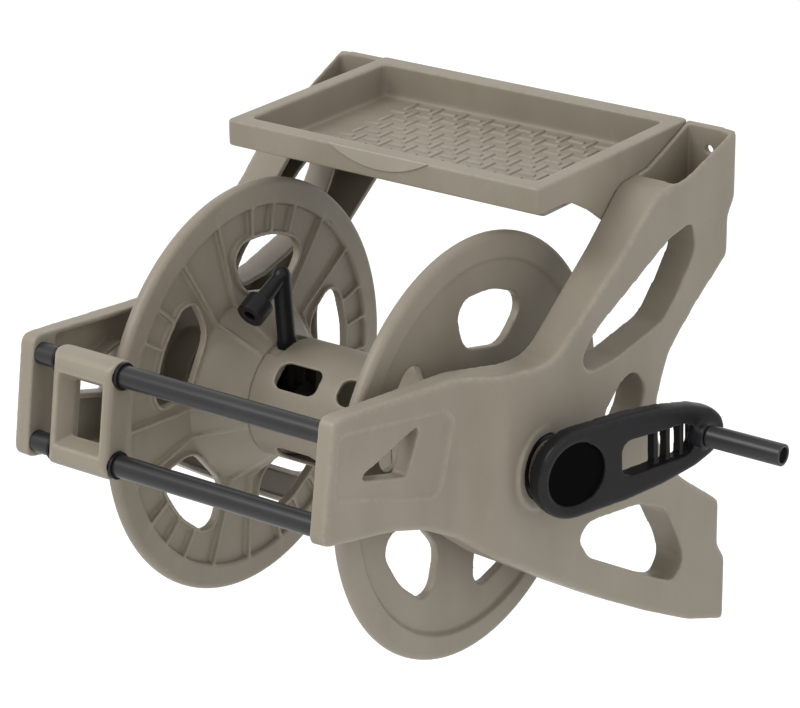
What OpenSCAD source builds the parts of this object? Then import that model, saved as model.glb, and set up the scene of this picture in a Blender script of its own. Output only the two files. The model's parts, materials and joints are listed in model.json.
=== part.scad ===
// Wall mounted hose reel. Two moulded side frames carry a cranked drum, a hose guide on two rods and a shelf.
// The origin is the middle of the four wall screws, on the wall.
// +Y points into the wall, +X to the crank side.

/* [Wall] */
// Distance from the wall to the drum axis
wall_reach = 248; // [240:1:262]
// Distance from a wall screw to the outer face of the frame
screw_inset = 23; // [20:0.5:26]
// Distance between the upper and lower wall screws
screw_rise = 380; // [374:1:386]
// Radius of a wall screw hole
screw_hole_r = 3.5; // [2.5:0.1:4.5]
// Radius of the way for a screwdriver to the lower screws
driver_hole_r = 6; // [5:0.25:7]

/* [Side frame] */
// Height of the frame above the drum axis
frame_top = 211; // [207:1:220]
// Depth of the frame below the drum axis
frame_bottom = 226; // [220:1:236]
// Distance from the drum axis to the lower front corner of the arm
arm_reach = 241; // [236:1:252]
// Height of the lower front corner of the arm above the drum axis
arm_low = 14; // [10:1:18]
// Length of the front edge of the arm
arm_front = 97; // [95:1:104]
// Lean of the front edge of the arm
arm_tilt = 9; // [6:0.5:12]
// Clearance between a flange and the frame beside it
frame_gap = 35.5; // [34:0.5:38]
// Width of a frame at its shoulder
shoulder_w = 25; // [23:0.5:28]
// Growth in the width of a frame from its shoulder to the wall
back_flare = 21; // [18:0.5:25]
// Step from the inner face of the frame to the inner face of the right arm
arm_step = 14.5; // [12:0.5:16.5]
// Step from the inner face of the frame to the inner face of the left arm
left_arm_step = 18.5; // [16:0.5:20]
// Width of an arm at its front
arm_t = 14.5; // [13:0.5:17]
// Growth in the width of an arm towards its shoulder
arm_flare = 4; // [2:0.5:6]
// Thickness of the walls of the frame
frame_wall = 4; // [3:0.25:5]
// Thickness of the frame where the wall screws hold it
pad_t = 6; // [5:0.25:8]
// Depth of the walls round the windows of the frame
window_depth = 27; // [22:1:30]
// Depth of the panel in the outer face of the arm
panel_depth = 2; // [0.8:0.1:2]

/* [Shelf] */
// Distance from the wall to the front of the shelf
tray_depth = 215; // [208:1:222]
// Height of the lip of the shelf
tray_h = 22; // [20:1:28]
// Depth of the basin of the shelf below its rim
tray_basin = 29.4; // [26:0.2:32]
// Width of the rim at each side of the shelf
side_rim = 13.5; // [11:0.5:18]
// Width of the rim at the front of the shelf
front_rim = 15; // [11:0.5:20]
// Width of the rim at the back of the shelf
back_rim = 17.5; // [11:0.5:20]
// Thickness of the walls of the shelf
tray_wall = 4; // [3:0.25:5]
// Thickness of the floor of the shelf
tray_floor = 2.5; // [2:0.25:5]
// Rounding of the outer corners of the shelf
tray_round = 4; // [2:0.5:6]
// Rounding of the corners of the basin
tray_inner_round = 6; // [4:0.5:12]
// Half length of the badge plate on the front of the shelf
badge_half = 49; // [40:1:60]
// Height of the badge plate
badge_h = 14; // [10:0.5:17]
// Thickness of the badge plate
badge_t = 1.2; // [0.8:0.1:2]
// Radius of the shank of a shelf screw
tray_screw_r = 2; // [1.5:0.1:2.5]
// Length of a shelf screw under its head
tray_screw_l = 15; // [12:0.5:17]

/* [Drum] */
// Radius of a flange
flange_r = 172.5; // [168:0.5:177]
// Half width between the inner faces of the flanges
drum_half = 105.5; // [103:0.5:108]
// Width of the rim of a flange
rim_w = 12; // [10:0.5:13]
// Height of the rim of a flange
rim_h = 22; // [18:0.5:25]
// Thickness of the web of a flange
web_t = 3.5; // [2.5:0.25:4.5]
// Thickness of the ribs of a flange
rib_t = 2.6; // [2:0.1:4]
// Number of windows in a flange
window_count = 5; // [4:1:6]
// Turn of the first window from the wall side
window_turn = 77; // [0:1:90]
// Outer radius of the hub
hub_r = 50; // [48:0.5:53]
// Length of the cone of the hub
cone_l = 33.5; // [30:0.5:36]
// Wall of the hub
hub_wall = 3.5; // [2.5:0.25:4]
// Radius where the cone of the hub meets the flange
cone_r = 80; // [76:0.5:84]
// Number of slots round the hub
slot_count = 4; // [3:1:5]
// Length of a hub slot
slot_l = 42; // [36:1:46]
// Width of a hub slot
slot_w = 23; // [18:1:27]
// Distance from the middle of the drum to the middle of a hub slot
slot_x = 31; // [28:0.5:33]

/* [Bearings] */
// Radius of a journal of the drum
journal_r = 22; // [20:0.5:24]
// Wall of a journal
journal_wall = 5; // [4:0.25:6]
// Wall of a bearing bush
bush_wall = 4; // [3:0.25:5]
// Reach of the bearing bushes beyond the shoulders of the frames
bearing_out = 4; // [3:0.25:6]
// Length of a bearing bush
bearing_l = 34; // [30:0.5:35]
// Thickness of a thrust washer
washer_t = 2; // [1.5:0.1:3]
// Radial running clearance of turning and sliding fits
run_gap = 0.08; // [0.04:0.01:0.1]
// Clearance between pieces that are fastened together
seat_gap = 0.15; // [0.1:0.01:0.25]

/* [Hose guide] */
// Radius of a guide rod
rod_r = 8.75; // [8:0.25:9]
// Distance between the guide rods
rod_gap = 70; // [68:0.5:73]
// Distance from the front edge of the arm to the rod axes
rod_inset = 10; // [9:0.25:12]
// Radius of the spigot at the end of a rod
spigot_r = 6; // [5:0.25:7]
// Length of the spigot at the end of a rod
spigot_l = 8; // [6:0.5:9]
// Width of the hose guide
guide_w = 60; // [56:0.5:66]
// Depth of the hose guide
guide_d = 28; // [27:0.25:32]
// Reach of the hose guide past the rod axes
guide_end = 11.5; // [11.25:0.25:14]
// Width of the throat of the hose guide
throat_w = 31; // [24:0.5:34]
// Height of the throat of the hose guide
throat_h = 44; // [38:0.5:46]
// Widening of the throat towards each face
throat_flare = 7; // [4:0.25:9]
// Place of the hose guide along the rods at rest
guide_rest = -83; // [-100:1:100]
// Wall of a guide bush
guide_bush_wall = 1; // [0.8:0.1:1.2]
// Thickness of the collar of a guide bush
bush_collar = 2.2; // [1.5:0.1:3]

/* [Water way] */
// Outer radius of the inlet tube
inlet_r = 10; // [9:0.25:11]
// Bore radius of the water way
bore_r = 5; // [4:0.25:5.5]
// Length of the inlet tube beyond its cover
inlet_l = 40; // [34:1:48]
// Thickness of the cover that holds the inlet tube
cover_t = 4; // [3:0.25:5]
// Outer radius of the swivel nut
nut_r = 18; // [16:0.5:20]
// Length of the swivel nut
nut_l = 22; // [20:0.5:24]
// Radius of the hose thread in the swivel nut
hose_thread_r = 13.3; // [12.5:0.1:13.8]
// Thickness of the seal rings
ring_d = 2.6; // [2:0.1:3]
// Distance of the outlet riser from the end of the hub sleeve
riser_inset = 6; // [5:0.25:7]
// Height of the bend of the outlet over the drum axis
riser_h = 108; // [100:1:116]
// Radius of the outlet riser
riser_r = 7.5; // [7:0.25:8]
// Length of the outlet from the bend to its end
outlet_l = 47; // [42:1:54]
// Fall of the outlet below the level
outlet_fall = 23; // [15:1:32]
// Turn of the outlet from the vertical at rest
outlet_turn = 5; // [-10:1:10]
// Radius of the collar at the end of the outlet
collar_r = 11.5; // [10:0.25:13]
// Length of the collar at the end of the outlet
collar_l = 17; // [14:0.5:22]

/* [Crank] */
// Radius of the boss of the crank
crank_boss_r = 37; // [34:0.5:40]
// Length of the crank from the drum axis to the grip
crank_throw = 122; // [114:1:130]
// Thickness of the crank
crank_t = 14; // [11:0.5:15]
// Distance from the bearing to the front of the crank, on the drum axis
crank_out = 31; // [30:0.5:34]
// Outward flare of the crank
crank_flare = 20; // [14:0.5:21]
// Turn of the crank above the level at rest
crank_turn = 2.5; // [-5:0.5:10]
// Clearance between the bearing and the hub of the crank
crank_gap = 3; // [2:0.25:4]
// Radius of the cap in the boss
cap_r = 26; // [23:0.5:28]
// Thickness of the cap in the boss
cap_t = 3; // [2:0.25:4]
// Depth of the recess for the cap
cap_depth = 6; // [5:0.25:7]
// Width of the square drive
drive_w = 22; // [20:0.5:24]
// Length of the square drive
drive_l = 12; // [10:0.5:13]
// Radius of the shank of the crank screw
crank_screw_r = 3; // [2.5:0.1:3.5]
// Radius of the grip
grip_r = 9; // [8.5:0.25:10]
// Length of the grip
grip_l = 67; // [60:1:76]
// Radius of the spindle in the grip
spindle_r = 4; // [3.5:0.1:4.5]

/* [Hidden] */
$fn = 64;
taupe = [0.55, 0.51, 0.46];
pale_taupe = [0.68, 0.64, 0.58];
black = [0.13, 0.13, 0.14];
rubber = [0.08, 0.08, 0.08];
steel = [0.66, 0.67, 0.69];
brass = [0.75, 0.6, 0.3];
// Straight steps in a rounded corner of an outline
arc_steps = 4;
// Largest share of an edge that the rounding of one corner may take
corner_share = 0.48;
// Length by which a cut runs past the face that it opens
cut_over = 20;

// Side outline of a frame. Rows are shares of the reach to the wall or of the arm,
// shares of the height or the depth, and shares of frame_round for the corner.
frame_round = 24;
frame_upper_shares = [[1, 1, 0.1], [0.74, 0.885, 1], [0.58, 0.87, 1.2], [0.4, 0.69, 2], [0.05, 0.39, 2],
    [-0.32, 0.445, 4]];
frame_lower_shares = [[-0.647, -0.017, 3], [-0.492, -0.073, 3], [-0.324, -0.172, 2], [-0.215, -0.273, 3],
    [0.14, -0.515, 3], [0.35, -0.655, 3], [0.57, -0.79, 3], [0.8, -0.92, 3], [1, -1, 0.1], [1, -0.74, 0.2],
    [0.955, -0.67, 0.4], [0.955, -0.49, 0.4], [0.74, -0.32, 2], [0.595, -0.13, 2.5], [0.595, 0.06, 2.5],
    [0.66, 0.22, 2], [0.81, 0.37, 2], [0.965, 0.5, 0.5], [0.965, 0.66, 0.4], [1, 0.72, 0.2]];
// Windows of a frame, as shares of the same sizes
window_round = 8;
window_run = 7.5;
upper_window_shares = [[0.765, 0.7], [0.64, 0.67], [0.26, 0.44], [0.185, 0.35], [0.225, 0.285], [0.36, 0.29],
    [0.62, 0.355], [0.7, 0.45], [0.785, 0.58]];
mid_window_shares = [[0.475, 0.2], [0.41, 0.2], [0.315, 0.1], [0.31, 0], [0.35, -0.06], [0.44, -0.06],
    [0.5, 0.03], [0.525, 0.12]];
lower_window_shares = [[0.24, -0.44], [0.625, -0.68], [0.71, -0.72], [0.76, -0.655], [0.73, -0.565],
    [0.645, -0.41], [0.5, -0.335], [0.24, -0.3], [0.18, -0.345]];
arm_window_shares = [[-0.83, 0.248], [-0.58, 0.165], [-0.51, 0.34]];
arm_window_round = 3;
arm_panel_shares = [[-0.94, 0.225], [-0.469, 0.043], [-0.423, 0.049], [-0.35, 0.29], [-0.385, 0.34],
    [-0.912, 0.452]];
// Open pocket round the upper wall screw
pocket_shares = [[0.975, 1.15], [0.66, 1.15], [0.68, 0.84], [0.77, 0.755], [0.975, 0.75]];
pocket_round = 8;
// Places where the plan of a frame bends, as shares of the reach of the arm
outer_bend_shares = [0.21, 0.31];
inner_bend_shares = [0.1, 0.3];
plan_round = 34;
// Places of the shelf screws, as shares of the reach to the wall and of the height
tray_screw_shares = [[0.605, 0.765], [0.92, 0.7]];
// Lower edge of the skirts of the shelf, as shares of the reach to the wall and of the height
skirt_shares = [[0.245, 0.9], [0.32, 0.884], [0.42, 0.82], [0.53, 0.728], [0.6, 0.69], [0.97, 0.65]];
// Window of a flange, as shares of its radius, across and outward
flange_window_shares = [[-0.15, 0.46], [0.15, 0.46], [0.255, 0.62], [0.21, 0.7], [0, 0.735], [-0.21, 0.7],
    [-0.255, 0.62]];
flange_window_run = 12;

flange_out = drum_half + rim_w;
hub_half = drum_half - cone_l;
inner_half = flange_out + frame_gap;
shoulder_half = inner_half + shoulder_w;
back_half = shoulder_half + back_flare;
arm_half = inner_half - arm_step;
left_arm_half = inner_half - left_arm_step;
bearing_half = shoulder_half + bearing_out;
screw_span = 2*(back_half - screw_inset);
riser_x = hub_half - riser_inset;
boss_wall = 8;
bearing_bore_r = journal_r + run_gap + bush_wall;
bearing_boss_r = bearing_bore_r + seat_gap + boss_wall;
bearing_in = bearing_half - bearing_l;
thrust_x = bearing_in - washer_t - 2*seat_gap;
thrust_r = journal_r + boss_wall;
rim_round = 5;
rim_inner_round = 3;
rim_in_r = flange_r - rim_h;
web_back = 3.5;
web_x = flange_out - web_t - web_back;
web_dish = 2;
web_in_x = web_x - web_dish;
hub_spigot_l = 20;
spigot_in = hub_half - hub_spigot_l;
journal_short = 1;
hub_in_r = hub_r - hub_wall;
spoke_turn = 9;
short_rib_turn = 11;
notch_half = 19;
notch_l = 13;
slot_round = 8;
hub_screw_r = 1.8;
hub_screw_l = 9;
screw_head_share = 2.2;
head_t = 2.6;
hub_screw_turns = [0, -90];
hub_screw_inset = 8;

arm_along = [sin(arm_tilt), cos(arm_tilt)];
arm_into = [cos(arm_tilt), -sin(arm_tilt)];
arm_corner = [-arm_reach - wall_reach, arm_low];
rod_low_share = 0.125;
arm_block = 26;
lower_rod = arm_corner + arm_along*arm_front*rod_low_share + arm_into*rod_inset;
upper_rod = lower_rod + arm_along*rod_gap;
guide_mid = (lower_rod + upper_rod)/2;
guide_h = rod_gap + 2*guide_end;
guide_round = 7;
guide_bore_r = rod_r + run_gap + guide_bush_wall;
guide_bush_l = 12;
guide_collar_wall = 1;
guide_collar_r = guide_bore_r + guide_collar_wall;

tray_gap = 0.2;
tray_half = inner_half - tray_gap;
tray_back = 0.5;
tray_boss_r = 6;
tray_under = frame_top - tray_h;
basin_half = tray_half - side_rim;
basin_front = tray_depth - front_rim;
basin_back = tray_back + back_rim;
basin_z = frame_top - tray_basin;
basin_slope = [12, 13.4];

socket_wall = 4;
socket_r = inlet_r + run_gap;
socket_back = 12;
socket_l = 38;
socket_in = riser_x - socket_back;
socket_out = socket_in + socket_l;
inlet_in = riser_x + riser_r + seat_gap;
outlet_way = [0, -cos(outlet_fall), -sin(outlet_fall)];
outlet_thin_share = 0.75;
ring_places = [5, 11];
cover_r = bearing_boss_r;
cover_x = bearing_half + cover_t;
inlet_reach = cover_x + inlet_l;
cover_screw_r = 1.6;
cover_screw_l = 12;
cover_screw_count = 3;
stop_t = 4;
stop_wall = 5;
stop_r = inlet_r + stop_wall;
nut_lip = 3;
nut_flats = 8;
nut_out = 12;
hose_washer_t = 3;
thread_step = 0.5;
nut_chamber_r = hose_thread_r + thread_step;

crank_x = bearing_half + crank_out;
crank_back = bearing_half + crank_gap;
crank_hub_r = 19;
// Lower edge of the crank, as shares of its length and of the radius of its boss
crank_edge_shares = [[0.4, -0.98], [0.68, -0.89], [0.94, -0.72], [1.09, -0.52], [1.18, -0.22]];
crank_round = 20;
// Slot of the crank, as shares of the same sizes
crank_slot_shares = [[0.35, -0.42], [0.93, -0.37], [0.93, 0.37], [0.35, 0.42]];
crank_slot_round = 9;
crank_rib_shares = [0.48, 0.65, 0.84];
crank_rib_t = 4.5;
crank_rib_deep = 9;
crank_screw_l = 21;
crank_screw_head_r = 7;
crank_seat_wall = 3.5;
crank_screw_seat = bearing_half + drive_l + crank_seat_wall;
grip_y = crank_throw*cos(crank_flare);
grip_base_wall = 2;
grip_base_h = 1;
grip_base_r = grip_r + grip_base_wall;
grip_seat = crank_x + crank_throw*sin(crank_flare) + grip_base_r*tan(crank_flare) + grip_base_h;
grip_end_wall = 10;
spindle_head_r = 6;
grip_mouth_wall = 2.6;
grip_mouth_r = grip_r - grip_mouth_wall;
spindle_head_t = 3;
spindle_in = 14;

// Outline helpers
function unit(v) = v/norm(v);
function turned_by(v, a) = [v[0]*cos(a) - v[1]*sin(a), v[0]*sin(a) + v[1]*cos(a)];
function before(p, i) = p[(i + len(p) - 1)%len(p)];
function after(p, i) = p[(i + 1)%len(p)];
function corner(a, b, c, r) = let (
        u = unit(a - b), v = unit(c - b), half = acos(u*v)/2,
        reach = min(r/tan(half), norm(a - b)*corner_share, norm(c - b)*corner_share),
        mid = b + unit(u + v)*reach/cos(half), start = b + u*reach - mid,
        sweep = (cross(u, v) < 0 ? 1 : -1)*(180 - 2*half)
    ) [for (k = [0:arc_steps]) mid + turned_by(start, sweep*k/arc_steps)];
// Outline with each corner rounded: r is one radius or a list of radii
function rounded(p, r) = [for (i = [0:len(p) - 1])
    each corner(before(p, i), p[i], after(p, i), is_list(r) ? r[i] : r)];
// Open outline with each inner corner rounded
function rounded_run(p, r) = [for (i = [1:len(p) - 2]) each corner(p[i - 1], p[i], p[i + 1], r)];
// Radii that start the rounding of each corner at the same distance from it
function run_radii(p, run) = [for (i = [0:len(p) - 1])
    let (c = unit(p[i] - before(p, i))*unit(after(p, i) - p[i])) run*sqrt((1 + c)/(1 - c))];
// Radii grown with an outline
function grown(radii, d) = [for (r = radii) r + d];
// Corners of a rectangle round the origin
function oblong(w, h) = [[-w, -h], [w, -h], [w, h], [-w, h]]/2;
// Outline moved inwards by d, for points that run counter-clockwise
function left_of(v) = [-v[1], v[0]];
function inset(p, d) = [for (i = [0:len(p) - 1]) let (
        m = left_of(unit(p[i] - before(p, i))), n = left_of(unit(after(p, i) - p[i]))
    ) p[i] + (m + n)*d/(1 + m*n)];
// Point of the side view from its shares
function at(s) = [
    (s[0] < 0 ? arm_reach : wall_reach)*s[0] - wall_reach,
    (s[1] < 0 ? frame_bottom : frame_top)*s[1]];
function all_at(shares) = [for (s = shares) at(s)];

arm_top_corner = arm_corner + arm_along*arm_front;
arm_round_share = 0.35;
frame_points = concat(all_at(frame_upper_shares), [arm_top_corner, arm_corner], all_at(frame_lower_shares));
frame_radii = frame_round*concat([for (s = frame_upper_shares) s[2]], [arm_round_share, arm_round_share],
    [for (s = frame_lower_shares) s[2]]);
frame_windows = concat(
    [for (shares = [upper_window_shares, mid_window_shares, lower_window_shares])
        [all_at(shares), run_radii(all_at(shares), window_run)]],
    [[all_at(arm_window_shares), [for (s = arm_window_shares) arm_window_round]]]);

// Prism of a side outline between two distances from the middle
module slab(points, from_x, to_x) {
    translate([from_x, 0, 0]) rotate([90, 0, 90]) linear_extrude(to_x - from_x) polygon(points);
}

// Turned piece: points are radius and distance along the drum axis
module turned(points) {
    rotate([0, 90, 0]) rotate_extrude() polygon(points);
}

module ring(inner_r, outer_r, from_x, to_x) {
    turned([[inner_r, from_x], [outer_r, from_x], [outer_r, to_x], [inner_r, to_x]]);
}

module rod_x(r, from_x, to_x) {
    translate([from_x, 0, 0]) rotate([0, 90, 0]) cylinder(r = r, h = to_x - from_x);
}

module at_axis() {
    translate([0, -wall_reach, 0]) children();
}

module at_point(p) {
    translate([0, p[0], p[1]]) children();
}

// Screw along X with its head outwards at from_x
module screw_x(r, length, from_x) {
    rod_x(r, from_x, from_x + length);
    rod_x(r*screw_head_share, from_x - head_t, from_x);
}

// Side frames
module frame_plan(half, skin, inner_x) {
    bend_y = [for (s = outer_bend_shares) -wall_reach - arm_reach*s];
    front = [half + arm_t - skin, -wall_reach - arm_reach];
    front_y = front[1] - cut_over;
    translate([0, 0, -frame_bottom - cut_over]) linear_extrude(frame_bottom + frame_top + 2*cut_over)
        polygon(concat([[inner_x, cut_over], [back_half - skin, cut_over], [back_half - skin, 0]],
            rounded_run([[back_half - skin, 0], [shoulder_half - skin, bend_y[0]],
                [front[0] + arm_flare, bend_y[1]], front], plan_round),
            [front, [front[0], front_y], [inner_x, front_y]]));
}

module frame_inner_cut(half) {
    knee_y = [for (s = inner_bend_shares) -wall_reach - arm_reach*s];
    near = half - cut_over;
    translate([0, 0, -frame_bottom - cut_over]) linear_extrude(frame_bottom + frame_top + 2*cut_over)
        polygon([[near, cut_over], [near, knee_y[1]], [half, knee_y[1]], [inner_half, knee_y[0]],
            [inner_half, cut_over]]);
}

module for_rods() {
    for (p = [lower_rod, upper_rod]) at_point(p) children();
}

module for_tray_screws() {
    for (s = tray_screw_shares) at_point(at(s)) children();
}

module frame_hollow(half) {
    near = half - cut_over;
    rise = arm_along*arm_front;
    block = arm_corner - rise;
    deep = arm_into*arm_block;
    difference() {
        intersection() {
            slab(rounded(inset(frame_points, frame_wall), frame_radii), near, back_half);
            frame_plan(half, frame_wall, near);
        }
        difference() {
            for (w = frame_windows)
                slab(rounded(inset(w[0], -frame_wall), grown(w[1], frame_wall)), near, back_half);
            frame_plan(half, window_depth, near);
        }
        slab(rounded(inset(all_at(pocket_shares), -frame_wall), pocket_round), inner_half, back_half);
        at_axis() rod_x(bearing_boss_r, bearing_in, bearing_half);
        slab([block, block + deep, block + deep + 3*rise, block + 3*rise], near, back_half);
        for_tray_screws() rod_x(tray_boss_r, inner_half, back_half);
        for (z = [-screw_rise/2, screw_rise/2])
            translate([inner_half, -pad_t, z - frame_wall - driver_hole_r])
                cube([back_half - inner_half, pad_t, 2*(frame_wall + driver_hole_r)]);
    }
}

// Frame of the right side, with the inner face of its arm at half
module side_frame(half) {
    near = half - cut_over;
    difference() {
        union() {
            difference() {
                intersection() {
                    slab(rounded(frame_points, frame_radii), half, back_half);
                    frame_plan(half, 0, half);
                }
                frame_inner_cut(half);
                frame_hollow(half);
            }
            at_axis() rod_x(bearing_boss_r, bearing_in, bearing_half);
        }
        for (w = frame_windows) slab(rounded(w[0], w[1]), near, back_half + cut_over);
        intersection() {
            slab(rounded(all_at(pocket_shares), pocket_round), inner_half + frame_wall, back_half);
            frame_plan(half, frame_wall, inner_half);
        }
        difference() {
            slab(rounded(all_at(arm_panel_shares), window_round), half + frame_wall, back_half);
            frame_plan(half, panel_depth, near);
        }
        at_axis() rod_x(bearing_bore_r + seat_gap, bearing_in - cut_over, bearing_half + cut_over);
        for_rods() rod_x(spigot_r + seat_gap, near, half + spigot_l + seat_gap);
        for_tray_screws() rod_x(tray_screw_r + seat_gap, inner_half - cut_over, inner_half + tray_screw_l);
        for (z = [-screw_rise/2, screw_rise/2]) translate([screw_span/2, cut_over, z])
            rotate([90, 0, 0]) cylinder(r = screw_hole_r, h = 2*cut_over);
        translate([screw_span/2, -pad_t, -screw_rise/2]) rotate([90, 0, 0])
            cylinder(r = driver_hole_r, h = wall_reach);
    }
}

module right_side_frame() {
    color(taupe) side_frame(arm_half);
}

module left_side_frame() {
    color(taupe) difference() {
        mirror([1, 0, 0]) side_frame(left_arm_half);
        at_axis() {
            for_cover_screws() rod_x(cover_screw_r + seat_gap, -cover_x, cover_screw_l - cover_x);
            rod_x(cover_r + seat_gap, -back_half, -bearing_half);
        }
    }
}

// Shelf
module tray_box(half, front, back, from_z, to_z, corner_r) {
    translate([0, 0, from_z]) linear_extrude(to_z - from_z)
        polygon(rounded([[-half, -front], [half, -front], [half, -back], [-half, -back]], corner_r));
}

// Basin of the shelf with a sloped front, grown by a wall at its sides and by a floor below
module basin(wall, floor, top) {
    front = -basin_front - wall;
    back = wall - basin_back;
    low = basin_z - floor;
    intersection() {
        tray_box(basin_half + wall, -front, -back, low, top, tray_inner_round + wall);
        slab([[front, low + basin_slope[1]], [front + basin_slope[0], low], [back, low], [back, top], [front, top]],
            -basin_half - wall, basin_half + wall);
    }
}

module shelf_tray() {
    back_y = at(skirt_shares[len(skirt_shares) - 1])[0];
    front_y = at(skirt_shares[0])[0];
    top_z = frame_top - tray_floor;
    skirt = concat(all_at(skirt_shares), [[back_y, top_z], [front_y, top_z]]);
    color(taupe) difference() {
        union() {
            difference() {
                tray_box(tray_half, tray_depth, tray_back, tray_under, frame_top, tray_round);
                tray_box(tray_half - tray_wall, tray_depth - tray_wall, tray_back + tray_wall,
                    tray_under - cut_over, frame_top - tray_wall, tray_inner_round);
            }
            basin(tray_wall, tray_floor, frame_top);
            for (x = [-tray_half, tray_half - tray_wall]) slab(rounded(skirt, tray_round), x, x + tray_wall);
        }
        basin(0, 0, frame_top + cut_over);
        for_tray_screws() rod_x(tray_screw_r + seat_gap, -inner_half, inner_half);
    }
}

// Crescent with a straight top, cut from a disc
module tray_badge() {
    badge_r = (badge_half*badge_half + badge_h*badge_h)/(2*badge_h);
    color(pale_taupe) translate([0, -tray_depth, frame_top]) rotate([90, 0, 0]) intersection() {
        translate([0, badge_r - badge_h, 0]) cylinder(r = badge_r, h = badge_t, $fn = 4*$fn);
        translate([-badge_half, -badge_h, 0]) cube([2*badge_half, badge_h, badge_t]);
    }
}

module tray_screws() {
    color(steel) for (side = [0, 1]) mirror([side, 0, 0]) for_tray_screws()
        screw_x(tray_screw_r, tray_screw_l, tray_half - tray_wall);
}

// Guide rods, with a spigot in each arm
module guide_rod(p) {
    color(black) at_point(p) {
        rod_x(rod_r, seat_gap - left_arm_half, arm_half - seat_gap);
        rod_x(spigot_r, -left_arm_half - spigot_l, arm_half + spigot_l);
    }
}

module upper_guide_rod() {
    guide_rod(upper_rod);
}

module lower_guide_rod() {
    guide_rod(lower_rod);
}

// Bearings
module bearing_bush() {
    color(black) at_axis() ring(journal_r + run_gap, bearing_bore_r, bearing_in, bearing_half);
}

module right_bearing_bush() {
    bearing_bush();
}

module left_bearing_bush() {
    mirror([1, 0, 0]) bearing_bush();
}

module thrust_washer() {
    near = thrust_x + seat_gap;
    color(black) at_axis() ring(journal_r + seat_gap, thrust_r, near, near + washer_t);
}

module right_thrust_washer() {
    thrust_washer();
}

module left_thrust_washer() {
    mirror([1, 0, 0]) thrust_washer();
}

// Drum
module radial_rib(points, angle) {
    rotate([angle, 0, 0]) translate([0, 0, -rib_t/2]) linear_extrude(rib_t) polygon(points);
}

module flange_window(grow, from_x, to_x) {
    points = flange_r*flange_window_shares;
    slab(rounded(inset(points, -grow), grown(run_radii(points, flange_window_run), grow)), from_x, to_x);
}

module for_windows() {
    for (k = [0:window_count - 1]) rotate([window_turn - 90 + 360*k/window_count, 0, 0]) children();
}

module flange() {
    rim = rounded([[rim_in_r, drum_half], [flange_r, drum_half], [flange_r, flange_out],
        [rim_in_r, flange_out]], [rim_inner_round, rim_round, rim_round, rim_inner_round]);
    gusset = [[hub_half, hub_r], [drum_half, cone_r], [drum_half, rim_in_r + rim_inner_round],
        [web_x, rim_in_r + rim_inner_round], [web_in_x, cone_r]];
    short_rib = [[drum_half, flange_r*flange_window_shares[4][1]], [drum_half, rim_in_r + rim_inner_round],
        [web_x, rim_in_r + rim_inner_round], [web_x, flange_r*flange_window_shares[4][1]]];
    spoke = 180/window_count;
    difference() {
        union() {
            turned(rim);
            turned([[rim_in_r + rim_inner_round, web_x], [rim_in_r + rim_inner_round, web_x + web_t],
                [cone_r, web_in_x + web_t], [journal_r, web_in_x + web_t], [journal_r, web_in_x],
                [cone_r, web_in_x]]);
            turned([[hub_in_r - seat_gap, hub_half], [hub_r, hub_half], [cone_r, web_in_x + web_t],
                [cone_r - hub_wall, web_in_x + web_t]]);
            turned([[hub_in_r - hub_wall, spigot_in], [hub_in_r - seat_gap, spigot_in],
                [hub_in_r - seat_gap, hub_half], [hub_in_r + hub_wall, hub_half + hub_wall],
                [hub_in_r - hub_wall, hub_half + hub_wall]]);
            ring(journal_r - journal_wall, thrust_r, web_in_x, thrust_x);
            for_windows() {
                flange_window(rib_t, drum_half, web_x);
                rotate([90 - spoke, 0, 0]) for (a = [-spoke_turn, spoke_turn]) radial_rib(gusset, a);
                rotate([90, 0, 0]) for (a = [-short_rib_turn, 0, short_rib_turn]) radial_rib(short_rib, a);
            }
        }
        for_windows() flange_window(0, drum_half - cut_over, flange_out + cut_over);
        rod_x(journal_r - journal_wall, web_in_x - cut_over, flange_out);
        for (a = hub_screw_turns) hub_screw_at(1, a, seat_gap);
    }
}

module right_flange() {
    color(taupe) at_axis() {
        flange();
        ring(journal_r - journal_wall, journal_r, thrust_x, bearing_half);
        difference() {
            union() {
                rod_x(journal_r, bearing_half - journal_wall, bearing_half);
                rotate([crank_turn, 0, 0]) translate([bearing_half, -drive_w/2, -drive_w/2])
                    cube([drive_l, drive_w, drive_w]);
            }
            rod_x(crank_screw_r + seat_gap, bearing_half - cut_over, bearing_half + drive_l + cut_over);
        }
    }
}

module at_riser() {
    rotate([outlet_turn, 0, 0]) translate([-riser_x, 0, 0]) children();
}

module left_flange() {
    color(taupe) at_axis() difference() {
        mirror([1, 0, 0]) {
            flange();
            ring(journal_r - journal_wall, journal_r, thrust_x, bearing_half - journal_short);
        }
        at_riser() cylinder(r = riser_r + seat_gap, h = cone_r);
    }
}

module hub_sleeve() {
    color(taupe) at_axis() difference() {
        ring(hub_in_r, hub_r, seat_gap - hub_half, hub_half - seat_gap);
        for (k = [0:slot_count - 1], side = [-1, 1]) rotate([45 + 360*k/slot_count, 0, 0])
            translate([side*slot_x, 0, 0]) linear_extrude(hub_r + cut_over)
                polygon(rounded(oblong(slot_l, slot_w), slot_round));
        rotate([outlet_turn, 0, 0]) translate([-hub_half - cut_over, -notch_half, 0])
            cube([cut_over + notch_l, 2*notch_half, hub_r + cut_over]);
        for (side = [-1, 1], a = hub_screw_turns) hub_screw_at(side, a, seat_gap);
    }
}

module hub_screw_at(side, angle, grow) {
    rotate([angle, 0, 0]) translate([side*(hub_half - hub_screw_inset), hub_r, 0]) rotate([90, 0, 0])
        cylinder(r = hub_screw_r + grow, h = hub_screw_l);
}

module hub_screws() {
    color(steel) at_axis() for (side = [-1, 1], a = hub_screw_turns) {
        hub_screw_at(side, a, 0);
        rotate([a, 0, 0]) translate([side*(hub_half - hub_screw_inset), hub_r + head_t, 0]) rotate([90, 0, 0])
            cylinder(r = hub_screw_r*screw_head_share, h = head_t);
    }
}

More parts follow.
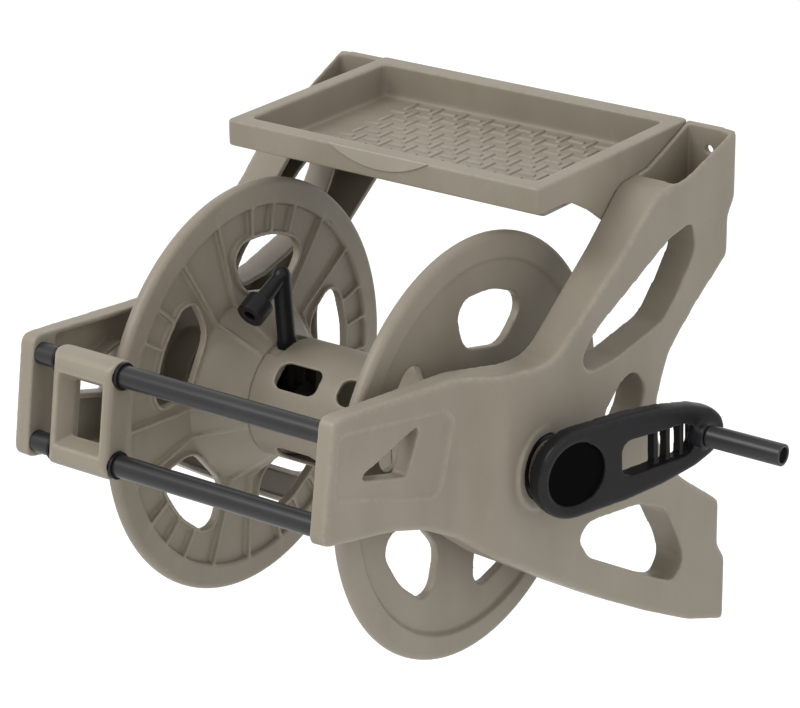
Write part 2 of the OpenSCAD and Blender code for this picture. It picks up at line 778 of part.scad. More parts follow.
// Water way
module along(direction) {
    rotate([0, 90 - asin(direction[2]), atan2(direction[1], direction[0])]) children();
}

module outlet_tube() {
    color(black) at_axis() difference() {
        union() {
            rod_x(socket_r + socket_wall, -socket_out, -socket_in);
            at_riser() {
                cylinder(r = riser_r, h = riser_h);
                translate([0, 0, riser_h]) {
                    sphere(r = riser_r);
                    along(outlet_way) {
                        cylinder(r1 = riser_r*outlet_thin_share, r2 = riser_r, h = outlet_l);
                        translate([0, 0, outlet_l - collar_l]) cylinder(r = collar_r, h = collar_l);
                    }
                }
            }
        }
        rod_x(socket_r, -socket_out - cut_over, -riser_x + riser_r);
        at_riser() {
            cylinder(r = bore_r, h = riser_h);
            translate([0, 0, riser_h]) {
                sphere(r = bore_r);
                along(outlet_way) cylinder(r = bore_r, h = outlet_l + cut_over);
            }
        }
    }
}

module inlet_tube() {
    color(black) at_axis() difference() {
        union() {
            rod_x(inlet_r, -inlet_reach, -inlet_in);
            rod_x(stop_r, -cover_x - stop_t, -cover_x);
            rod_x(nut_chamber_r - 2*seat_gap, -inlet_reach, nut_lip - inlet_reach);
        }
        rod_x(bore_r, -inlet_reach - cut_over, cut_over - inlet_in);
        for (p = ring_places)
            ring(inlet_r - ring_d - seat_gap, inlet_r + cut_over, -inlet_in - p - ring_d, -inlet_in - p);
    }
}

module inlet_seals() {
    color(rubber) at_axis() for (p = ring_places) rotate([0, 90, 0]) rotate_extrude()
        translate([inlet_r - ring_d/2, -inlet_in - p - ring_d/2]) circle(d = ring_d - 2*seat_gap);
}

module for_cover_screws() {
    for (k = [0:cover_screw_count - 1]) rotate([90 + 360*k/cover_screw_count, 0, 0])
        translate([0, bearing_bore_r + boss_wall/2, 0]) children();
}

module inlet_cover() {
    color(taupe) at_axis() difference() {
        rod_x(cover_r, -cover_x, -bearing_half - seat_gap);
        rod_x(inlet_r + seat_gap, -cover_x - cut_over, cut_over - bearing_half);
        for_cover_screws() rod_x(cover_screw_r + seat_gap, -cover_x - cut_over, cut_over - cover_x);
    }
}

module cover_screws() {
    color(steel) at_axis() for_cover_screws() screw_x(cover_screw_r, cover_screw_l, -cover_x);
}

// Swivel nut behind the lip of the inlet tube
module inlet_nut() {
    nut_end = -inlet_reach - nut_out;
    color(brass) at_axis() difference() {
        translate([nut_end, 0, 0]) rotate([0, 90, 0]) cylinder(r = nut_r, h = nut_l, $fn = nut_flats);
        rod_x(inlet_r + run_gap, nut_end, nut_end + nut_l + cut_over);
        rod_x(hose_thread_r, nut_end - cut_over, -inlet_reach);
        rod_x(nut_chamber_r, -inlet_reach - hose_washer_t - 2*seat_gap, nut_lip + seat_gap - inlet_reach);
    }
}

module inlet_washer() {
    color(rubber) at_axis()
        ring(bore_r, nut_chamber_r - seat_gap, -inlet_reach - hose_washer_t, -inlet_reach - seat_gap);
}

// Crank
function circle_arc(mid, r, from_a, to_a) = [for (k = [0:4*arc_steps])
    mid + r*[cos(from_a + (to_a - from_a)*k/(4*arc_steps)), sin(from_a + (to_a - from_a)*k/(4*arc_steps))]];

// Side outline of the crank: half of its boss, and a point of its edge for each share
function crank_at(s) = [s[0]*crank_throw, s[1]*crank_boss_r];
function crank_outline() = let (edge = [for (s = crank_edge_shares) crank_at(s)], last = len(edge) - 1)
    concat(circle_arc([0, 0], crank_boss_r, 90, 270),
        rounded_run(concat([[0, -crank_boss_r]], edge, [for (i = [last:-1:0]) [edge[i][0], -edge[i][1]]],
            [[0, crank_boss_r]]), crank_round));

// Frame of the crank: the drum axis at its turn, and the flared plane of its front face
module at_crank_axis() {
    at_axis() rotate([crank_turn, 0, 0]) children();
}

module at_crank_face() {
    translate([crank_x, 0, 0]) rotate([0, 0, -crank_flare]) children();
}

module at_grip() {
    at_crank_axis() translate([0, grip_y, 0]) children();
}

module crank_arm() {
    slot = [for (s = crank_slot_shares) crank_at(s)];
    near = slot[0];
    slot_length = slot[1][0] - near[0];
    color(black) difference() {
        union() {
            at_crank_axis() at_crank_face() {
                difference() {
                    slab(crank_outline(), -crank_t, 0);
                    slab(rounded(slot, crank_slot_round), -crank_t - cut_over, cut_over);
                }
                for (s = crank_rib_shares) translate([-crank_t, near[0] + slot_length*s, near[1]])
                    cube([crank_rib_deep, crank_rib_t, -2*near[1]]);
            }
            at_crank_axis() rod_x(crank_hub_r, crank_back, crank_x);
            at_grip() rod_x(grip_base_r, grip_seat - crank_t, grip_seat);
        }
        at_crank_axis() {
            at_crank_face() rod_x(cap_r + seat_gap, -cap_depth, crank_out);
            rod_x(crank_screw_r + seat_gap, crank_back - cut_over, crank_x);
            rod_x(crank_screw_head_r + seat_gap, crank_screw_seat, crank_x);
            translate([bearing_half, -drive_w/2 - seat_gap, -drive_w/2 - seat_gap])
                cube([drive_l + seat_gap, drive_w + 2*seat_gap, drive_w + 2*seat_gap]);
        }
        at_grip() rod_x(spindle_r + seat_gap, grip_seat - spindle_in, grip_seat + cut_over);
    }
}

module crank_cap() {
    under = seat_gap - cap_depth;
    color(rubber) at_crank_axis() at_crank_face() rod_x(cap_r, under, under + cap_t);
}

module crank_screw() {
    under = crank_screw_seat + seat_gap;
    color(steel) at_axis() {
        rod_x(crank_screw_r, under - crank_screw_l, under);
        rod_x(crank_screw_head_r, under, under + head_t);
    }
}

module grip_spindle() {
    under = grip_seat + grip_l - grip_end_wall;
    color(steel) at_grip() {
        rod_x(spindle_r, grip_seat - spindle_in, under);
        rod_x(spindle_head_r, under, under + spindle_head_t);
    }
}

module crank_grip() {
    color(black) at_grip() difference() {
        rod_x(grip_r, grip_seat + 2*seat_gap, grip_seat + grip_l);
        rod_x(spindle_r + run_gap, grip_seat - cut_over, grip_seat + grip_l);
        rod_x(grip_mouth_r, grip_seat + grip_l - grip_end_wall - 2*seat_gap, grip_seat + grip_l + cut_over);
    }
}

// Hose guide, leaning as the arms do
module at_guide() {
    translate([guide_rest, guide_mid[0], guide_mid[1]]) rotate([-arm_tilt, 0, 0]) children();
}

// Wedge that opens from the throat towards both faces, half wide at the middle
module flare_cut(half) {
    deep = guide_d/2 + cut_over;
    wide = half + throat_flare*deep/(guide_d/2);
    polygon([[-half, 0], [-wide, -deep], [wide, -deep], [half, 0], [wide, deep], [-wide, deep]]);
}

module hose_guide() {
    color(taupe) at_guide() difference() {
        intersection() {
            translate([0, 0, -guide_h/2]) linear_extrude(guide_h)
                polygon(rounded(oblong(guide_w, guide_d), guide_round));
            slab(rounded(oblong(guide_d, guide_h), guide_end), -guide_w, guide_w);
        }
        intersection() {
            translate([0, 0, -guide_h/2]) linear_extrude(guide_h) flare_cut(throat_w/2);
            rotate([90, 0, 90]) translate([0, 0, -guide_w/2]) linear_extrude(guide_w) rotate([0, 0, 90])
                flare_cut(throat_h/2);
        }
        for (z = [-rod_gap/2, rod_gap/2]) translate([0, 0, z])
            rod_x(guide_bore_r + seat_gap, -guide_w, guide_w);
    }
}

module guide_bushes() {
    face = guide_w/2 + seat_gap;
    color(black) at_guide() for (z = [-rod_gap/2, rod_gap/2], side = [0, 1])
        translate([0, 0, z]) mirror([side, 0, 0]) {
            ring(rod_r + run_gap, guide_bore_r, face - guide_bush_l, face);
            ring(rod_r + run_gap, guide_collar_r, face, face + bush_collar);
        }
}

left_side_frame();
right_side_frame();
shelf_tray();
tray_badge();
tray_screws();
upper_guide_rod();
lower_guide_rod();
left_bearing_bush();
right_bearing_bush();
left_thrust_washer();
right_thrust_washer();
left_flange();
right_flange();
hub_sleeve();
hub_screws();
outlet_tube();
inlet_tube();
inlet_seals();
inlet_cover();
cover_screws();
inlet_nut();
inlet_washer();
crank_arm();
crank_cap();
crank_screw();
grip_spindle();
crank_grip();
hose_guide();
guide_bushes();
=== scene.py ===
import json
import math

import bmesh
import bpy
from mathutils import Matrix, Vector, kdtree

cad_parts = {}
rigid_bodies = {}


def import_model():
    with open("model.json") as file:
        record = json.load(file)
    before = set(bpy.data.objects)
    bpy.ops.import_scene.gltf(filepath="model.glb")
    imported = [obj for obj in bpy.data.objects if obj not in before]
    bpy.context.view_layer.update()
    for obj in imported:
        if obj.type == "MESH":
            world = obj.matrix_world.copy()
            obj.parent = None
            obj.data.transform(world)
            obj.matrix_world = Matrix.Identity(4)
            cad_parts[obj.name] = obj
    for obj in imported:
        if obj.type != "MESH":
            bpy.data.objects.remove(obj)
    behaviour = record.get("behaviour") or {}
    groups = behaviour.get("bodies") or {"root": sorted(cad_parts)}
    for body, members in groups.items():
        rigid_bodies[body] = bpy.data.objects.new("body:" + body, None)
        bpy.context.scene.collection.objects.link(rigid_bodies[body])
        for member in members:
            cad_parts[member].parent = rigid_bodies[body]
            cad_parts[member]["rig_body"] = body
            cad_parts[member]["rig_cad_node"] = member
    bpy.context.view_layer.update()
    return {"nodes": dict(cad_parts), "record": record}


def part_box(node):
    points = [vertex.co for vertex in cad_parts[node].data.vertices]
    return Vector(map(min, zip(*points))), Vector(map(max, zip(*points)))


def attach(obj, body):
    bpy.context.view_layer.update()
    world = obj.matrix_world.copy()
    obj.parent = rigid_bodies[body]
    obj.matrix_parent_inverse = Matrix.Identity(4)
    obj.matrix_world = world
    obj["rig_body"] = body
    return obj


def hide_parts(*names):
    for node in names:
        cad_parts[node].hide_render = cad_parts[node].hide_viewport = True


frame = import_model()
mm = 0.001
print("frame loaded:", len(frame["nodes"]), "nodes")

# how every moulding is skinned: CAD copy cleaned, sharp edges found, smoothed, and its proud edges given a mask that
# paints them paler: partly rubbed wear, partly painted highlight
skin = {"merge": 0.02 * mm, "flat": math.radians(0.5), "sharp": math.radians(24), "step": 0.8 * mm,
        "leastTurns": 4, "turnsPerVoxel": 4, "radiusPerVoxel": 1.36, "spread": 1.6, "margin": 2,
        "rubSheenFrom": 1.7, "rubSheenShare": 0.5, "rubSheenEdge": 0.4 * mm, "normalWeight": 50}


def pick(*objects):  # only these are selected, the first one is active
    bpy.ops.object.select_all(action="DESELECT")
    for item in objects:
        item.select_set(True)
    bpy.context.view_layer.objects.active = objects[0]


def applied(piece, kind, **settings):
    pick(piece)
    modifier = piece.modifiers.new(kind.title(), kind)
    for key, value in settings.items():
        setattr(modifier, key, value)
    bpy.ops.object.modifier_apply(modifier=modifier.name)


def copyOf(node, name):  # a merged copy of a CAD node with its flat faces in one
    pick(frame["nodes"][node])
    bpy.ops.object.duplicate()
    piece = bpy.context.active_object
    piece.name = piece.data.name = name
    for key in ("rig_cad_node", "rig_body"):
        del piece[key]
    piece.data.materials.clear()
    bpy.ops.mesh.customdata_custom_splitnormals_clear()
    bpy.ops.object.mode_set(mode="EDIT")
    bpy.ops.mesh.select_all(action="SELECT")
    bpy.ops.mesh.remove_doubles(threshold=skin["merge"])
    bpy.ops.mesh.dissolve_limited(angle_limit=skin["flat"])
    bpy.ops.object.mode_set(mode="OBJECT")
    return piece


def borderSizes(shape, onSkin):  # edges round the skin, with the length of the border that each is in
    def border(edge):
        return len(edge.link_faces) == 2 and onSkin(edge.link_faces[0]) != onSkin(edge.link_faces[1])
    left = {edge for edge in shape.edges if border(edge)}
    sizes = {}
    while left:
        chain = [left.pop()]
        for edge in chain:
            for vert in edge.verts:
                found = [other for other in vert.link_edges if other in left]
                chain += found
                left.difference_update(found)
        spots = [vert.co for edge in chain for vert in edge.verts]
        size = max(max(p[i] for p in spots) - min(p[i] for p in spots) for i in range(3))
        sizes.update((edge, size) for edge in chain)
    return sizes


def sharpSpots(piece, wanted):  # points along the sharp edges: place, radius, whether it stands proud
    shape = bmesh.new()
    shape.from_mesh(piece.data)
    wish = wanted(shape)
    spots = []
    for edge in shape.edges:
        bend = edge.calc_face_angle_signed(0)
        if abs(bend) > skin["sharp"]:
            start, end = (vert.co for vert in edge.verts)
            count = max(1, math.ceil(edge.calc_length() / skin["step"]))
            spots += [(start.lerp(end, i / count), wish(edge), bend > 0) for i in range(count + 1)]
    shape.free()
    return spots


def treeOf(spots):
    tree = kdtree.KDTree(len(spots))
    for i, spot in enumerate(spots):
        tree.insert(spot[0], i)
    tree.balance()
    return tree


def mould(piece, wanted, voxel, triangles):  # even skin, smoothed near each sharp edge until its radius is reached
    spots = sharpSpots(piece, wanted)
    applied(piece, "REMESH", mode="VOXEL", voxel_size=voxel)
    done = 0
    for radius in sorted({spot[1] for spot in spots}):
        tree = treeOf([spot for spot in spots if spot[1] >= radius])
        reach = skin["spread"] * radius + skin["margin"] * voxel
        near = [vert.index for vert in piece.data.vertices if tree.find(vert.co)[2] < reach]
        piece.vertex_groups.new(name="round").add(near, 1, "REPLACE")
        needed = round((radius / skin["radiusPerVoxel"] / voxel) ** 2 * skin["turnsPerVoxel"])
        turns = max(skin["leastTurns"], needed) - done
        if turns > 0:
            applied(piece, "SMOOTH", factor=0.5, iterations=turns, vertex_group="round")
            done += turns
        piece.vertex_groups.clear()
    applied(piece, "TRIANGULATE")
    applied(piece, "DECIMATE", ratio=min(1, triangles / len(piece.data.polygons)))
    # proud edges get a paler mask: partly rubbed wear, partly painted highlight along the edges
    proud = [spot for spot in spots if spot[2]]
    tree = treeOf(proud)
    rubSheen = []
    for vert in piece.data.vertices:
        place, index, distance = tree.find(vert.co)
        width = skin["rubSheenShare"] * proud[index][1] + skin["rubSheenEdge"]
        rubSheen.append(max(0, min(1, skin["rubSheenFrom"] - distance / width)))
    piece.data.attributes.new("rubSheenMask", "FLOAT", "POINT").data.foreach_set("value", rubSheen)
    pick(piece)
    bpy.ops.object.shade_smooth()
    applied(piece, "WEIGHTED_NORMAL", mode="FACE_AREA", weight=skin["normalWeight"])


def dress(piece, body, slot, look, *nodes):
    piece.data.materials.clear()
    piece.data.materials.append(look)
    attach(piece, body)
    if nodes:
        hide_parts(*nodes)
    piece.data.calc_loop_triangles()
    print(piece.name, "done:", len(piece.data.loop_triangles), "triangles")


def tone(red, green, blue):  # screen colour to the shader's own scale
    return tuple(((c / 255 + 0.055) / 1.055) ** 2.4 if c > 10 else c / 255 / 12.92 for c in (red, green, blue)) + (1,)


class Wire:  # a shader socket that can be used in sums
    def __init__(self, tree, socket=None):
        self.tree, self.socket = tree, socket

    def node(self, kind, settings=None, inputs=None, output=0):
        made = self.tree.nodes.new(kind)
        for key, value in (settings or {}).items():
            setattr(made, key, value)
        for key, value in (inputs or {}).items():
            if isinstance(value, Wire):
                self.tree.links.new(value.socket, made.inputs[key])
            else:
                made.inputs[key].default_value = value
        return Wire(self.tree, made.outputs[output] if made.outputs else None)

    def maths(self, operation, first, second):
        return self.node("ShaderNodeMath", {"operation": operation}, {0: first, 1: second})

    def __add__(self, other):
        return self.maths("ADD", self, other)

    def __radd__(self, other):
        return self.maths("ADD", other, self)

    def __sub__(self, other):
        return self.maths("SUBTRACT", self, other)

    def __rsub__(self, other):
        return self.maths("SUBTRACT", other, self)

    def __mul__(self, other):
        return self.maths("MULTIPLY", self, other)

    def __rmul__(self, other):
        return self.maths("MULTIPLY", other, self)

    def blend(self, low, high):  # from one colour to the other by this value
        return self.node("ShaderNodeMix", {"data_type": "RGBA"}, {0: self, 6: low, 7: high}, 2)

    def between(self, low, high):  # 0 below low, 1 above high
        return self.node("ShaderNodeMapRange", {}, {"Value": self, "From Min": low, "From Max": high})


def newLook(name):
    look = bpy.data.materials.new(name)
    look.use_nodes = True
    look.node_tree.nodes.clear()
    return look, Wire(look.node_tree)


def noise(wire, place, scale, detail=2.0, stretch=None):
    if stretch:
        place = wire.node("ShaderNodeMapping", {}, {"Vector": place, "Scale": stretch})
    return wire.node("ShaderNodeTexNoise", {}, {"Vector": place, "Scale": scale, "Detail": detail})


def shown(wire, height, bump, sockets):  # surface with a bump from this height
    bumped = wire.node("ShaderNodeBump", {}, {"Strength": bump["strength"], "Distance": bump["depth"],
                                              "Height": height})
    surface = wire.node("ShaderNodeBsdfPrincipled", {}, {**sockets, "Normal": bumped})
    wire.node("ShaderNodeOutputMaterial", {}, {"Surface": surface})


# edge is the pale tone for grain specks, scuffs and the masked edges and bar tops; on those edges and tops the
# paleness is partly rubbed wear and partly painted highlight
plastics = {
    "taupePlastic": {"colour": tone(134, 126, 112), "deep": tone(124, 116, 102), "edge": tone(160, 152, 137),
                     "rough": 0.44, "grain": 1500, "depth": 0.10, "shine": 0.42, "rubSheen": 0.34},
    "paleTaupePlastic": {"colour": tone(151, 143, 129), "deep": tone(142, 134, 120), "edge": tone(170, 162, 149),
                         "rough": 0.40, "grain": 1800, "depth": 0.06, "shine": 0.45, "rubSheen": 0.3},
    "blackPlastic": {"colour": tone(25, 24, 26), "deep": tone(19, 18, 20), "edge": tone(46, 45, 48),
                     "rough": 0.36, "grain": 1700, "depth": 0.07, "shine": 0.22, "rubSheen": 0.3},
    # glossier black for the rods and grip; its paler colour than blackPlastic is painted sheen
    "rodSheenBlack": {"colour": tone(37, 37, 38), "deep": tone(30, 30, 31), "edge": tone(60, 60, 62),
                 "rough": 0.32, "grain": 1700, "depth": 0.05, "shine": 0.40, "rubSheen": 0.3},
    "softBlack": {"colour": tone(5, 5, 5), "deep": tone(4, 4, 4), "edge": tone(20, 20, 21),
                  "rough": 0.7, "grain": 2200, "depth": 0.12, "shine": 0.03, "rubSheen": 0.25},
}
plasticScale = {"clouds": 11, "flow": 26, "scuffs": 95, "ragged": 240}


def plasticLook(name):  # moulded plastic: cloudy colour, fine eroded grain, paler edges and bar tops that are partly rubbed wear and partly painted highlight, a few scuffs
    use = plastics[name]
    look, wire = newLook(name)
    place = wire.node("ShaderNodeTexCoord", {}, {}, 3)
    clouds = noise(wire, place, plasticScale["clouds"], 3)
    flow = noise(wire, place, plasticScale["flow"], 4, (1, 1, 0.25))
    grain = noise(wire, place, use["grain"], 2)
    scuffs = noise(wire, place, plasticScale["scuffs"], 3, (1, 0.16, 0.5)).between(0.66, 0.74)
    # mask that paints edges and bar tops paler: partly rubbed wear, partly painted highlight
    rubSheen = wire.node("ShaderNodeAttribute", {"attribute_name": "rubSheenMask"}, {}, 2)
    ragged = rubSheen * noise(wire, place, plasticScale["ragged"], 3).between(0.25, 0.7)
    base = (clouds * 0.55 + flow * 0.45).between(0.38, 0.64).blend(use["deep"], use["colour"])
    speckled = (grain.between(0.4, 0.6) * 0.12 + scuffs * 0.10).blend(base, use["edge"])
    colour = (ragged * use["rubSheen"]).blend(speckled, use["edge"])
    rough = use["rough"] - 0.05 + clouds * 0.10 + scuffs * 0.08 - rubSheen * 0.05
    shown(wire, grain + scuffs * 0.6, {"strength": use["depth"], "depth": 0.3 * mm},
          {"Base Color": colour, "Roughness": rough, "IOR": 1.46, "Specular IOR Level": use["shine"]})
    return look


metals = {
    "brightSteel": {"colour": tone(176, 178, 182), "dull": tone(140, 141, 145), "rough": 0.28},
    "plainBrass": {"colour": tone(192, 160, 92), "dull": tone(146, 116, 62), "rough": 0.32},
}
metalScale = {"patches": 60, "rings": 900}


def metalLook(name):  # turned metal with fine rings along the axis and dull patches
    use = metals[name]
    look, wire = newLook(name)
    place = wire.node("ShaderNodeTexCoord", {}, {}, 3)
    dull = noise(wire, place, metalScale["patches"], 4).between(0.45, 0.7)
    turned = noise(wire, place, metalScale["rings"], 2, (2.5, 0.15, 0.15))
    colour = (dull * 0.8 + turned * 0.2).blend(use["colour"], use["dull"])
    rough = use["rough"] + dull * 0.18 + turned * 0.06
    shown(wire, turned, {"strength": 0.08, "depth": 0.2 * mm},
          {"Base Color": colour, "Roughness": rough, "Metallic": 1.0})
    return look


looks = {name: plasticLook(name) for name in plastics} | {name: metalLook(name) for name in metals}
slotLooks = {"taupe_plastic": "taupePlastic", "pale_plastic": "paleTaupePlastic", "black_plastic": "blackPlastic",
             "rubber": "softBlack", "steel": "brightSteel", "brass": "plainBrass"}
print("finishes made:", len(looks))


def evenMoulding(node, name, use, body, slot, look=None):  # a moulding with the same radius on all its edges
    piece = copyOf(node, name)
    mould(piece, lambda shape: lambda edge: use["edge"], use["voxel"], use["triangles"])
    dress(piece, body, slot, looks[look or slotLooks[slot]], node)


# side frames: shells with broad outer edges; radii in mm by the size of the border that an edge is in
sideFrame = {"radii": ((300, 5.5), (133, 2.6), (110, 1.0), (70, 1.5), (53, 2), (0, 1.2)), "voxel": 1.2 * mm,
             "triangles": 60000}


def frameRadii(sign):
    def wanted(shape):
        sizes = borderSizes(shape, lambda face: face.normal.x * sign > 0.3)

        def wish(edge):
            size = sizes.get(edge, 0)
            return next(radius * mm for limit, radius in sideFrame["radii"] if size >= limit * mm)
        return wish
    return wanted


for side, sign in (("right", 1), ("left", -1)):
    moulded = copyOf(side + "_side_frame", side + "FrameMoulding")
    mould(moulded, frameRadii(sign), sideFrame["voxel"], sideFrame["triangles"])
    dress(moulded, "frame", "taupe_plastic", looks["taupePlastic"], side + "_side_frame")

# shelf: basin with a broad fillet, rounded rim and lip
shelf = {"rim": 2.4 * mm, "lip": 2.4 * mm, "fillet": 5 * mm, "rest": 1.2 * mm, "voxel": 1.2 * mm, "triangles": 40000,
         "lipHeight": 22 * mm, "basinDepth": 29.4 * mm}
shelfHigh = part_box("shelf_tray")[1]


def shelfRadii(shape):
    def wish(edge):
        depth = shelfHigh.z - sum(vert.co.z for vert in edge.verts) / 2
        if depth < mm:
            return shelf["rim"]
        if abs(depth - shelf["basinDepth"]) < mm and edge.calc_face_angle_signed(0) < 0:
            return shelf["fillet"]
        return shelf["lip"] if abs(depth - shelf["lipHeight"]) < mm else shelf["rest"]
    return wish


tray = copyOf("shelf_tray", "shelfMoulding")
mould(tray, shelfRadii, shelf["voxel"], shelf["triangles"])
dress(tray, "frame", "taupe_plastic", looks["taupePlastic"], "shelf_tray")

# tread of the shelf: raised bars in turn along and across
tread = {"floorZ": shelfHigh.z - shelf["basinDepth"], "firstRow": -29.5 * mm, "rowStep": 18.3 * mm, "rows": 9,
         "columnStep": 12.9 * mm, "columns": 8, "long": 20 * mm, "short": 16 * mm, "wide": 5.5 * mm,
         "top": 3.4 * mm, "high": 1.4 * mm, "sunk": 0.6 * mm, "edge": 0.7 * mm, "rubSheenAbove": 0.8 * mm}


def treadBar(along):  # one raised bar: a box drawn in to a narrow top, with its edges rounded
    bpy.ops.object.select_all(action="DESELECT")
    length = tread["long"] if along == "y" else tread["short"]
    height = tread["sunk"] + tread["high"]
    middle = tread["floorZ"] - tread["sunk"] + height / 2
    bpy.ops.mesh.primitive_cube_add(size=1, location=(0, tread["firstRow"], middle))
    bar = bpy.context.active_object
    bar.scale = (tread["wide"], length, height) if along == "y" else (length, tread["wide"], height)
    bpy.ops.object.transform_apply(location=True, rotation=True, scale=True)
    bpy.ops.object.mode_set(mode="EDIT")
    bpy.ops.mesh.select_mode(type="FACE")
    bpy.ops.mesh.select_all(action="DESELECT")
    shape = bmesh.from_edit_mesh(bar.data)
    for face in shape.faces:
        face.select = face.normal.z > 0.9
    bmesh.update_edit_mesh(bar.data)
    drawn = tread["top"] / tread["wide"]
    far = (length - tread["wide"] + tread["top"]) / length
    size = (drawn, far, 1) if along == "y" else (far, drawn, 1)
    bpy.ops.transform.resize(value=size, center_override=(0, tread["firstRow"], tread["floorZ"] + tread["high"]))
    shape = bmesh.from_edit_mesh(bar.data)
    bpy.ops.mesh.select_mode(type="EDGE")
    for edge in shape.edges:
        edge.select = any(face.normal.z > 0.9 for face in edge.link_faces)
    bmesh.update_edit_mesh(bar.data)
    bpy.ops.mesh.bevel(offset=tread["edge"], segments=2)
    bpy.ops.object.mode_set(mode="OBJECT")
    return bar


firstBars = {along: treadBar(along) for along in ("y", "x")}
bars = []
for row in range(tread["rows"]):
    for column in range(-tread["columns"], tread["columns"] + 1):
        pick(firstBars["y" if (row + column) % 2 == 0 else "x"])
        bpy.ops.object.duplicate()
        bar = bpy.context.active_object
        bar.location = (column * tread["columnStep"], -row * tread["rowStep"], 0)
        bars.append(bar)
pick(*firstBars.values())
bpy.ops.object.delete()
pick(*bars)
bpy.ops.object.join()
plate = bpy.context.active_object
bpy.ops.object.transform_apply(location=True, rotation=True, scale=True)
plate.name = plate.data.name = "shelfTread"
# bar tops get the paler mask: partly rubbed wear, partly painted highlight on the tops
rubSheenZ = tread["floorZ"] + tread["rubSheenAbove"]
plate.data.attributes.new("rubSheenMask", "FLOAT", "POINT").data.foreach_set(
    "value", [1.0 if vert.co.z > rubSheenZ else 0.0 for vert in plate.data.vertices])
pick(plate)
bpy.ops.object.shade_smooth_by_angle(angle=math.radians(50))
dress(plate, "frame", "taupe_plastic", looks["taupePlastic"])

badge = {"edge": 0.6 * mm, "voxel": 0.4 * mm, "triangles": 8000}
evenMoulding("tray_badge", "badgePlate", badge, "frame", "pale_plastic")

# drum: ribbed flanges, slotted hub, hose outlet
flange = {"edge": 1.1 * mm, "voxel": 1.15 * mm, "triangles": 60000}
hub = {"edge": 1.6 * mm, "voxel": 0.9 * mm, "triangles": 26000}
outlet = {"edge": 0.8 * mm, "voxel": 0.5 * mm, "triangles": 16000}
for side in ("left", "right"):
    evenMoulding(side + "_flange", side + "FlangeMoulding", flange, "drum", "taupe_plastic")
evenMoulding("hub_sleeve", "hubMoulding", hub, "drum", "taupe_plastic")
evenMoulding("outlet_tube", "outletElbow", outlet, "drum", "black_plastic")

# crank: thick arm with a broad rounded front edge
crank = {"front": 7.5 * mm, "frontSize": 120 * mm, "slot": 1.8 * mm, "rest": 1.2 * mm,
         "facing": (0.94, -0.3417, -0.0149), "voxel": 0.9 * mm, "triangles": 36000}


def crankRadii(shape):
    facing = Vector(crank["facing"])
    sizes = borderSizes(shape, lambda face: face.normal.dot(facing) > 0.97)

    def wish(edge):
        size = sizes.get(edge, 0)
        if size > crank["frontSize"]:
            return crank["front"]
        return crank["slot"] if size else crank["rest"]
    return wish


arm = copyOf("crank_arm", "crankMoulding")
mould(arm, crankRadii, crank["voxel"], crank["triangles"])
dress(arm, "drum", "black_plastic", looks["blackPlastic"], "crank_arm")
cap = {"edge": 1.0 * mm, "voxel": 0.5 * mm, "triangles": 8000}
evenMoulding("crank_cap", "crankCap", cap, "drum", "rubber")
grip = {"edge": 1.0 * mm, "voxel": 0.5 * mm, "triangles": 12000}
# the grip takes the glossier black whose paler colour is painted sheen
evenMoulding("crank_grip", "gripMoulding", grip, "grip", "black_plastic", "rodSheenBlack")

guide = {"edge": 2.2 * mm, "voxel": 0.8 * mm, "triangles": 24000}
evenMoulding("hose_guide", "guideMoulding", guide, "guide", "taupe_plastic")

# inlet side
cover = {"edge": 1.0 * mm, "voxel": 0.6 * mm, "triangles": 14000}
evenMoulding("inlet_cover", "inletCoverDisc", cover, "frame", "taupe_plastic")
nut = {"edge": 0.8 * mm, "voxel": 0.5 * mm, "triangles": 14000}
evenMoulding("inlet_nut", "swivelNut", nut, "swivel", "brass")

# CAD nodes that stay get their finish
for entry in frame["record"]["subparts"]:
    carried = frame["nodes"][entry["node"]]
    if not carried.hide_render:
        # guide rods take the glossier black whose paler colour is painted sheen
        isRod = entry["node"].endswith("guide_rod")
        for slot in carried.material_slots:
            slot.material = looks["rodSheenBlack" if isRod else slotLooks[entry["material_slot"]]]
print("carried nodes finished")

# floor, paler to the camera, and white air that lights the part less than it shows
stage = {"floorZ": -0.62, "floorSize": 16, "floor": (0.86, 0.86, 0.86, 1), "lift": 0.2, "air": 0.40}
bpy.ops.object.select_all(action="DESELECT")
bpy.ops.mesh.primitive_plane_add(size=stage["floorSize"], location=(0, 0, stage["floorZ"]))
floor = bpy.context.active_object
floor.name = floor.data.name = "studioFloor"
floorLook, wire = newLook("paleFloor")
rays = wire.node("ShaderNodeLightPath")
seen = wire.node("ShaderNodeEmission", {}, {"Color": (1, 1, 1, 1), "Strength": stage["lift"]})
matte = wire.node("ShaderNodeBsdfDiffuse", {}, {"Color": stage["floor"]})
both = wire.node("ShaderNodeAddShader", {}, {0: matte, 1: seen})
picked = wire.node("ShaderNodeMixShader", {}, {0: rays, 1: matte, 2: both})
wire.node("ShaderNodeOutputMaterial", {}, {"Surface": picked})
floor.data.materials.append(floorLook)

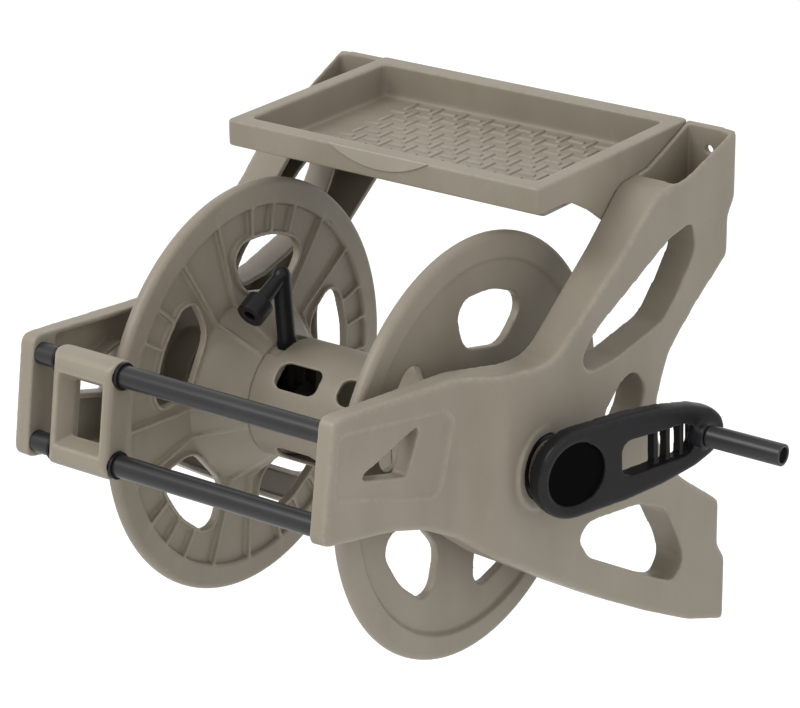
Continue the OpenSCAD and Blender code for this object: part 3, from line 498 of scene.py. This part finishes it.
sky = bpy.data.worlds.new("studioAir")
bpy.context.scene.world = sky
sky.use_nodes = True
sky.node_tree.nodes.clear()
wire = Wire(sky.node_tree)
straight = wire.node("ShaderNodeLightPath")
mirrored = wire.node("ShaderNodeLightPath", {}, {}, 3)
through = wire.node("ShaderNodeLightPath", {}, {}, 5)
white = wire.maths("MAXIMUM", straight, wire.maths("MAXIMUM", mirrored, through))
strength = stage["air"] + white * (1 - stage["air"])
back = wire.node("ShaderNodeBackground", {}, {"Color": (1, 1, 1, 1), "Strength": strength})
wire.node("ShaderNodeOutputWorld", {}, {"Surface": back})

# lamps, aimed at the drum
drumMiddle = Vector((0, -0.248, 0))
lamps = {"keyLamp": {"place": (-0.8, -2.1, 2.1), "size": 1.2, "power": 36},
         "fillLamp": {"place": (2.3, -1.0, 0.9), "size": 1.6, "power": 5}}
for name, lamp in lamps.items():
    aim = drumMiddle - Vector(lamp["place"])
    bpy.ops.object.light_add(type="AREA", location=lamp["place"], rotation=aim.to_track_quat("-Z", "Y").to_euler())
    made = bpy.context.active_object
    made.name = name
    made.data.energy, made.data.size = lamp["power"], lamp["size"]

# camera at the photograph's angle
shot = {"azimuth": 36.596, "elevation": 21.828, "roll": -0.597, "sensor": 36, "lens": 150.30,
        "place": (1.497818, -2.205760, 1.038700)}
turn, rise, roll = (math.radians(shot[key]) for key in ("azimuth", "elevation", "roll"))
backward = Vector((math.sin(turn) * math.cos(rise), -math.cos(turn) * math.cos(rise), math.sin(rise)))
level = Vector((math.cos(turn), math.sin(turn), 0))
upright = backward.cross(level)
across = level * math.cos(roll) + upright * math.sin(roll)
upward = upright * math.cos(roll) - level * math.sin(roll)
pose = Matrix((across, upward, backward)).transposed().to_euler()
bpy.ops.object.camera_add(location=shot["place"], rotation=pose)
camera = bpy.context.active_object
camera.data.sensor_width = shot["sensor"]
camera.data.lens = shot["lens"]
bpy.context.scene.camera = camera
bpy.context.scene.view_settings.view_transform = "Standard"
print("stage set")

bpy.ops.object.select_all(action="DESELECT")
